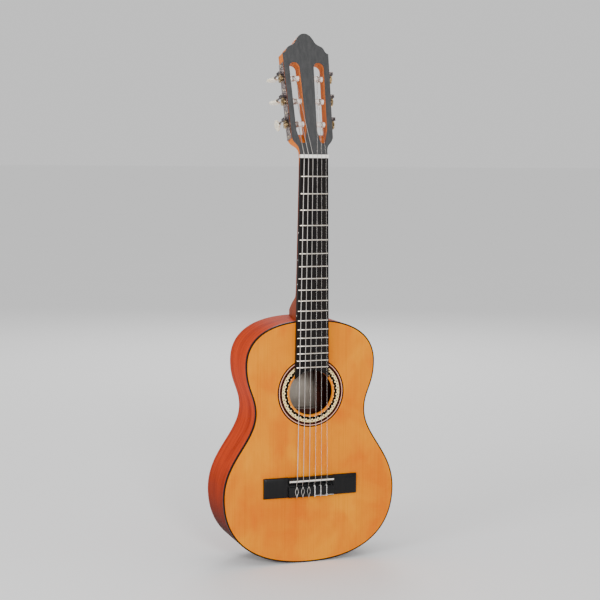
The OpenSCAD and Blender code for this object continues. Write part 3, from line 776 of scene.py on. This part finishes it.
def back():
    """The back: a plate with rounded edges, with a fine line down its middle where its two halves meet."""
    margin = 30
    loops = [(margin, BACK_T), (0, BACK_T)] + quarter_round(BACK_ROUND, 4) + [(margin, 0)]
    rings = [[(on_rim(p, i)[0], back_y(p[1]) - d, on_rim(p, i)[1]) for p in RIM] for i, d in loops]
    obj = loft("back_plate", rings, [BACK, INNER_BACK])
    for face in obj.data.polygons:
        face.material_index = 1 if face.normal.y < -0.7 else 0  # the face inside the box is bare
    place(obj, "root", "side_wood", "back")
    section = ((-0.35, 0.3), (0.35, 0.3), (0.3, 0.01), (-0.3, 0.01))
    seam = [[(x, back_y(z) - d, z) for x, d in section] for z in (BODY_TOP - 2, BODY_TAIL + 2)]
    place(loft("back_seam", seam, [STRIP]), "root", "dark_strip")


def ring_band(outer, inner, material):
    """A flat ring round the soundhole, let into the top."""
    section = ((outer, INLAY_REAR), (outer, INLAY_FRONT), (inner, INLAY_FRONT), (inner, INLAY_REAR))
    angles = [TAU * i / INLAY_STEPS for i in range(INLAY_STEPS)]
    rings = [[(r * math.cos(a), y, HOLE_Z + r * math.sin(a)) for r, y in section] for a in angles]
    return loft("band", rings, [material], True)


def inlay_tile(outline, at, material):
    """A flat tile let into the rosette, from radii and places counted in cells round the ring."""
    n = len(outline)
    turns = [(r, (at + a) * CELL) for r, a in outline]
    corners = [(r * math.cos(a), HOLE_Z + r * math.sin(a)) for r, a in turns]
    points = [(x, y, z) for y in (TILE_FRONT, TILE_REAR) for x, z in corners]
    faces = [tuple(range(n)), tuple(range(n, 2 * n))[::-1]]
    faces += [(i, n + i, n + (i + 1) % n, (i + 1) % n) for i in range(n)]
    return add_mesh("tile", points, faces, [material])


def rosette():
    """Plain rings outside, and inside them a cream band set with black teeth and brown specks."""
    edges = (ROSETTE_R, 50.3, 49.4, 45.4, TEETH_R, ROSETTE_IN)
    colors = (DARK_LINE, BEIGE_LINE, DARK_LINE, CREAM, AMBER_LINE)
    bands = [ring_band(a, b, color) for a, b, color in zip(edges, edges[1:], colors)]
    place(join("rosette_bands", bands), "root", "rosette_inlay", "rosette")
    base = TEETH_R + 0.02
    tooth = ((base, -0.50), (39.8, -0.50), (41.0, -0.38), (42.3, -0.22), (41.0, 0), (42.3, 0.22),
             (41.0, 0.38), (39.8, 0.50), (base, 0.50), (base, 0.15), (38.2, 0), (base, -0.15))
    diamond = ((38.7, 0), (40.0, -0.12), (41.6, 0), (40.0, 0.12))
    wide_speck = ((42.2, 0), (43.3, -0.17), (44.7, 0), (43.3, 0.17))
    small_speck = ((43.0, 0), (43.9, -0.11), (44.8, 0), (43.9, 0.11))
    shapes = ((tooth, 0, TILE), (diamond, 0.5, PALE), (wide_speck, 0.5, SPECK), (small_speck, 0, SPECK))
    tiles = [inlay_tile(outline, i + shift, material)
             for i in range(CELLS) for outline, shift, material in shapes]
    place(join("rosette_mosaic", tiles), "root", "rosette_inlay")


def label_panel(x0, x1, z0, z1, lift, thick, material):
    """A thin flat piece lying along the back's inner face."""
    rear = [(x, back_y(z) - BACK_T - lift, z) for x, z in ((x0, z0), (x1, z0), (x1, z1), (x0, z1))]
    points = [(x, y - thick, z) for x, y, z in rear] + rear
    faces = [(0, 1, 2, 3), (7, 6, 5, 4), (0, 4, 5, 1), (1, 5, 6, 2), (2, 6, 7, 3), (3, 7, 4, 0)]
    return add_mesh("panel", points, faces, [material])


def label():
    """A blank sheet on the back's inner face, with two border lines."""
    low, high = extent("label")
    half_w, half_h, middle = high.x, (high.z - low.z) / 2, (low.z + high.z) / 2
    pieces = [label_panel(-half_w, half_w, middle - half_h, middle + half_h, 0, PAPER_T, PAPER)]
    for inset, thick in ((2.0, 0.9), (3.8, 0.35)):
        x, z = half_w - inset, half_h - inset
        lines = ((-x, x, z - thick, z), (-x, x, -z, thick - z), (-x, thick - x, -z, z), (x - thick, x, -z, z))
        for x0, x1, z0, z1 in lines:
            pieces.append(label_panel(x0, x1, middle + z0, middle + z1, PAPER_T - 0.01, 0.04, DARK_LINE))
    place(join("label_sheet", pieces), "root", "label_paper", "label")


# ---------------------------------------------------------------- neck, frets and bridge
def fret_wires():
    """Rounded wires with bevelled ends, let into the fingerboard."""
    ends = ((0, 0.35), (0.25, 0.75), (0.7, 1))
    crown = [(FRET_HALF * math.cos(a), FRET_H * math.sin(a)) for a in (math.pi * i / 10 for i in range(11))]
    foot_y, foot_half = -BOARD_T + 0.3, 0.4
    wires = []
    for n in range(1, FRETS + 1):
        z = fret_z(n)
        half = board_half(z) - FRET_INSET
        stations = [(d - half, grow) for d, grow in ends] + [(half - d, grow) for d, grow in ends[::-1]]
        rings = []
        for x, grow in stations:
            ring = [(x, -BOARD_T - dy * grow, z + dz * grow) for dz, dy in crown]
            rings.append(ring + [(x, foot_y, z - foot_half), (x, foot_y, z + foot_half)])
        wires.append(loft("wire", rings, [FRET], sharp=50))
    place(join("fret_wires", wires), "root", "fret_metal", "frets")


def bridge_wing(sign):
    """A crowned wing, a little lower and rounded over at its end."""
    stations, count, rounded = [], 16, 0.93
    for i in range(count + 1):
        t = i / count
        x = mix(TIE_HALF - 0.1, BRIDGE_HIGH.x, t)
        end = max(0.0, (t - rounded) / (1 - rounded))
        height = (WING_H - 0.9 * t * t) * math.sqrt(1 - 0.6 * end * end)
        stations.append([(sign * x, -share * height, BRIDGE_HIGH.z - drop) for share, drop in WING_CROWN])
    return loft("wing", stations, [BRIDGE_BLACK], sharp=40)


def bridge():
    """A low crowned wing on each side of a raised middle with its saddle slot, trough and tie block."""
    front, deck, trough = BRIDGE_HIGH.z, -7.5, -3.5
    middle = [(0, front - 0.2), (-4.8, front - 0.2), (deck, front - 2.6), (deck, front - 9.0),
              (trough, front - 11.5), (trough, TIE_FRONT), (TIE_Y, TIE_FRONT), (TIE_Y, TIE_REAR),
              (-7.0, TIE_REAR - 0.9), (-1, TIE_REAR - 1.3), (0, BRIDGE_LOW.z + 0.1)]
    parts = [bridge_wing(-1), bridge_wing(1), bar("middle", middle, TIE_HALF, [BRIDGE_BLACK], 0.45)]
    place(join("bridge_body", parts), "root", "black_wood", "bridge")


def saddle():
    """A thin white bar in the bridge's slot, sloped off behind its crest."""
    half, foot = 1.25, -3
    section = [(foot, SADDLE_Z + half), (-SADDLE_H + 0.5, SADDLE_Z + half), (-SADDLE_H, SADDLE_Z + 0.75),
               (-SADDLE_H + 0.05, SADDLE_Z + 0.35), (-SADDLE_H + 0.75, SADDLE_Z - 0.6),
               (-SADDLE_H + 1.8, SADDLE_Z - half), (foot, SADDLE_Z - half)]
    place(bar("saddle_bar", section, extent("saddle")[1].x, [BONE], 0.22), "root", "bone_white", "saddle")


def nut():
    """The white nut, with its top sloped down towards the head."""
    section = [(0, 0), (-NUT_HEIGHT, 0), (-NUT_HEIGHT, 0.6), (-NUT_HEIGHT + 0.6, NUT_LENGTH), (0, NUT_LENGTH)]
    place(bar("nut_bar", section, NUT_HALF, [BONE], 0.3), "root", "bone_white", "nut")


# ---------------------------------------------------------------- strings and tuners
def head_point(p):
    """A point in the head's frame, put in the row frame."""
    turned = Matrix.Rotation(-HEAD_ANGLE, 3, "X") @ Vector(p)
    return turned + Vector((0, -FACE_FRONT, NUT_LENGTH))


def side_of(k):
    """Strings 1 to 3 are on the treble side, and 4 to 6 on the bass side."""
    return 1 if k < 4 else -1


def tuner_point(k, p):
    """A point in one tuner's frame on the side of the head: X outwards, Y backwards, Z up the slope."""
    along = Vector((0, 0, TUNER_STEPS[k - 1] * TUNER_PITCH))
    local = Matrix.Rotation(SIDE_ANGLE, 3, "Y") @ (Vector(p) + along) + Vector(MIDDLE_TUNER)
    local.x *= side_of(k)
    return head_point(local)


def string_x(k, spread):
    return spread * (3.5 - k) / 5


def bass_tie(k, r):
    """A wound string's long open loop over the tie block."""
    x, top, rear, front = string_x(k, BRIDGE_SPREAD), KNOT_Y - r, TIE_REAR, TIE_FRONT
    w = 2.15
    loop = [(x, TIE_HOLE_Y, rear - 1.3), (x + 0.1, -6.0, rear - 1.9), (x + 0.1, -7.4, rear - 1.6),
            (x - 0.1, top, rear - 0.1), (x - 0.6, top, rear + 2.0), (x - w, top, rear + 6.2),
            (x - w, top, rear + 9.6), (x - 0.7, top, rear + 13.2), (x + 0.05, top - 0.15, front + 0.1),
            (x + 0.8, top, rear + 13.2), (x + w, top, rear + 9.6), (x + w, top, rear + 6.2),
            (x + 0.7, top, rear + 2.2), (x + 0.35, top + 0.1, rear - 0.2), (x + 0.6, -6.6, rear - 1.7)]
    lead = [(x + 0.1, top + 1.0, front + 0.9), (x + 0.2, top - 0.2, front + 0.4),
            (x - 0.6, top - 0.4, front - 0.9), (x + 0.3, top - 0.5, front - 1.6),
            (x + 0.9, top - 0.2, front - 0.8)]
    return [tube("loop", smooth_path(loop, 6), 0.85 * r, [WOUND]),
            tube("lead", smooth_path(lead, 4), 0.8 * r, [WOUND])]


def treble_tie(k, r):
    """A nylon string's twisted return over the tie block, with a loose end; the third's runs across."""
    x, top, rear, front = string_x(k, BRIDGE_SPREAD), KNOT_Y - r, TIE_REAR, TIE_FRONT
    twists, steps = 2.5, 24
    strands = []
    for phase in (0, math.pi):
        points = []
        for i in range(steps + 1):
            t = i / steps
            a = phase + TAU * twists * t
            points.append((x + 1.02 * r * math.cos(a), top - 0.3 * r + 0.9 * r * math.sin(a),
                           mix(rear - 0.2, front + 0.4, t)))
        if phase == 0:
            entry = [(x, TIE_HOLE_Y, rear - 1.3), (x, -6.6, rear - 1.7)]
            points = entry + points + [(x, top + 1.2, front + 1.3)]
        else:
            points += [(x - 1.0, top + 0.5, front + 1.1), (x - 1.7, top + 0.2, front + 0.4)]
        strands.append(tube("strand", smooth_path(points, 3), 0.8 * r, [KNOT_NYLON]))
    if k == 3:
        reach = TIE_HALF - 1 - x
        tail = [(x + reach * t, top - 0.45 + 0.25 * math.cos(18 * t), rear + 0.5 + 0.35 * math.sin(9 * t))
                for t in (i / 12 for i in range(13))]
        strands.append(tube("tail", smooth_path(tail, 3), 0.7 * r, [KNOT_NYLON]))
    return strands


def string(k):
    """One string: over the nut and the saddle, tied at the bridge, with its turns on the roller."""
    r = STRING_R[k - 1]
    material, slot = ([NYLON], "string_nylon") if side_of(k) > 0 else ([WOUND], "string_wound")
    xb, xn = string_x(k, BRIDGE_SPREAD), string_x(k, NUT_SPREAD)
    roller_z = MIDDLE_TUNER[2] + TUNER_STEPS[k - 1] * TUNER_PITCH
    end = head_point((ROLLER_X[k - 1], MIDDLE_TUNER[1] - ROLLER_R - 3 * r - RUN_GAP, roller_z))
    bend = [(xb, TIE_HOLE_Y, TIE_REAR - 1.2), (xb, TIE_HOLE_Y, TIE_FRONT),
            (xb, -SADDLE_H + 1.64 - r, SADDLE_Z - 1.2)]
    crest = Vector((xb, -SADDLE_H - r + 0.045, SADDLE_Z + 0.5))
    nut_y = -NUT_HEIGHT - r
    over_nut = [(xn, nut_y + 0.08, 1.2), (xn, nut_y + 0.6, NUT_LENGTH), tuple(end)]
    run = [tuple(mix(crest, Vector((xn, nut_y, 0.2)), i / RUN_STEPS)) for i in range(RUN_STEPS + 1)]
    parts = [tube("run", bend + run + over_nut, r, material)]
    parts += treble_tie(k, r) if side_of(k) > 0 else bass_tie(k, r)
    place(join(f"string_{k}_strung", parts), "root", slot, f"string_{k}")
    wind(k, r, material, slot)


def wind(k, r, material, slot):
    """The turns of a string on its roller, starting where it arrives."""
    start_x = (side_of(k) * ROLLER_X[k - 1] - MIDDLE_TUNER[0]) / math.cos(SIDE_ANGLE)
    turns = 3.5 if k in (1, 6) else 4.5
    radius = ROLLER_R + r
    pitch = 2.08 * r
    lead = 1 if start_x + pitch * turns < ROLLER_OUT - r else -1
    points = []
    for i in range(int(WIND_STEPS * turns) + 1):
        t = i / WIND_STEPS
        a = TAU * t
        spot = (start_x + lead * pitch * t, -radius * math.cos(a), radius * math.sin(a))
        points.append(tuner_point(k, spot))
    place(tube(f"string_{k}_turns", points, r, material, 10), f"winder_{k}", slot)


def button_ring(k, y, w, t):
    """One ring of a button: squarer and cupped on its paddle, round on its collar."""
    turn = Matrix.Rotation(math.radians(BUTTON_ANGLES[k - 1]), 3, "Y")
    flat_x, flat_z = (0.72, 0.9) if w > PADDLE_W else (1.0, 1.0)
    ring = []
    for i in range(BUTTON_SIDES):
        a = TAU * i / BUTTON_SIDES
        c, s = math.cos(a), math.sin(a)
        x = t * math.copysign(abs(c) ** flat_x, c)
        z = w * math.copysign(abs(s) ** flat_z, s)
        if w > CUPPED_W:
            x *= 1 - CUP * (1 - min(1, (z / CUP_HALF_W) ** 2)) * max(0, 1 - (y / CUP_HALF_L) ** 2)
        p = turn @ Vector((x, y, z))
        ring.append(tuner_point(k, (GEAR_X + p.x, BUTTON_Y + p.y, GEAR_OFFSET + p.z)))
    return ring


def button(k):
    """A pearl paddle: a collar on the shaft swelling into a rounded, slightly cupped oval."""
    obj = loft(f"button_{k}_pearl", [button_ring(k, *row) for row in BUTTON_PROFILE], [PEARL], sharp=40)
    place(obj, f"tuner_{k}", "button_pearl", f"button_{k}")


def tuners():
    """The six tuners' moving pieces, and the engraved plates that carry them."""
    for k in range(1, 7):
        button(k)
        soften(f"worm_{k}_steel", f"worm_{k}", STEEL_DARKENED, f"tuner_{k}", "worm_steel", width=0, sharp=40)
        soften(f"gear_{k}_brass", f"gear_{k}", BRASS, f"winder_{k}", "gear_brass", 0.12, 0.5)
        soften(f"roller_{k}_white", f"roller_{k}", ROLLER_WHITE, f"winder_{k}", "roller_white", width=0)
    for node in ("tuner_plate_bass", "tuner_plate_treble"):
        obj = soften(f"{node}_engraved", node, PLATE, "root", "plate_metal", 0.22, 0.8)
        set_grain(obj, [(v.co.z / MM, v.co.y / MM, 0) for v in obj.data.vertices])
    soften("plate_screw_heads", "plate_screws", SCREW, "root", "screw_metal", width=0)


def paint(node, material):
    """Gives a CAD node that is shown as it is a finished material."""
    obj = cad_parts[node]
    if not obj.material_slots:
        obj.data.materials.append(material)
    for item in obj.material_slots:
        item.link = "OBJECT"
        item.material = material


def main():
    make_camera()
    make_stage()
    soundboard()
    binding()
    sides()
    back()
    rosette()
    label()
    soften("neck_carved", "neck", NECK_SHADED, "root", "neck_wood", width=0, sharp=50)
    soften("headstock_carved", "headstock", HEAD, "root", "head_wood", width=0.5, shortest=0.9)
    soften("heel_cap_shaped", "heel_cap", STRIP, "root", "dark_strip", width=0.25)
    soften("head_veneer_face", "head_veneer", VENEER, "root", "veneer_black", width=0.35, shortest=0.9)
    soften("fingerboard_shaped", "fingerboard", BLACK, "root", "black_wood", width=0.4, shortest=1.2)
    soften("side_dot_pearls", "side_dots", DOT, "root", "dot_white", width=0)
    fret_wires()
    nut()
    bridge()
    saddle()
    for k in range(1, 7):
        string(k)
    tuners()
    for node in ("top_linings", "back_linings", "tail_block", "neck_block", "fan_braces", "cross_braces",
                 "back_braces", "back_center_strip"):
        paint(node, INNER)
    paint("end_strip", STRIP)


main()
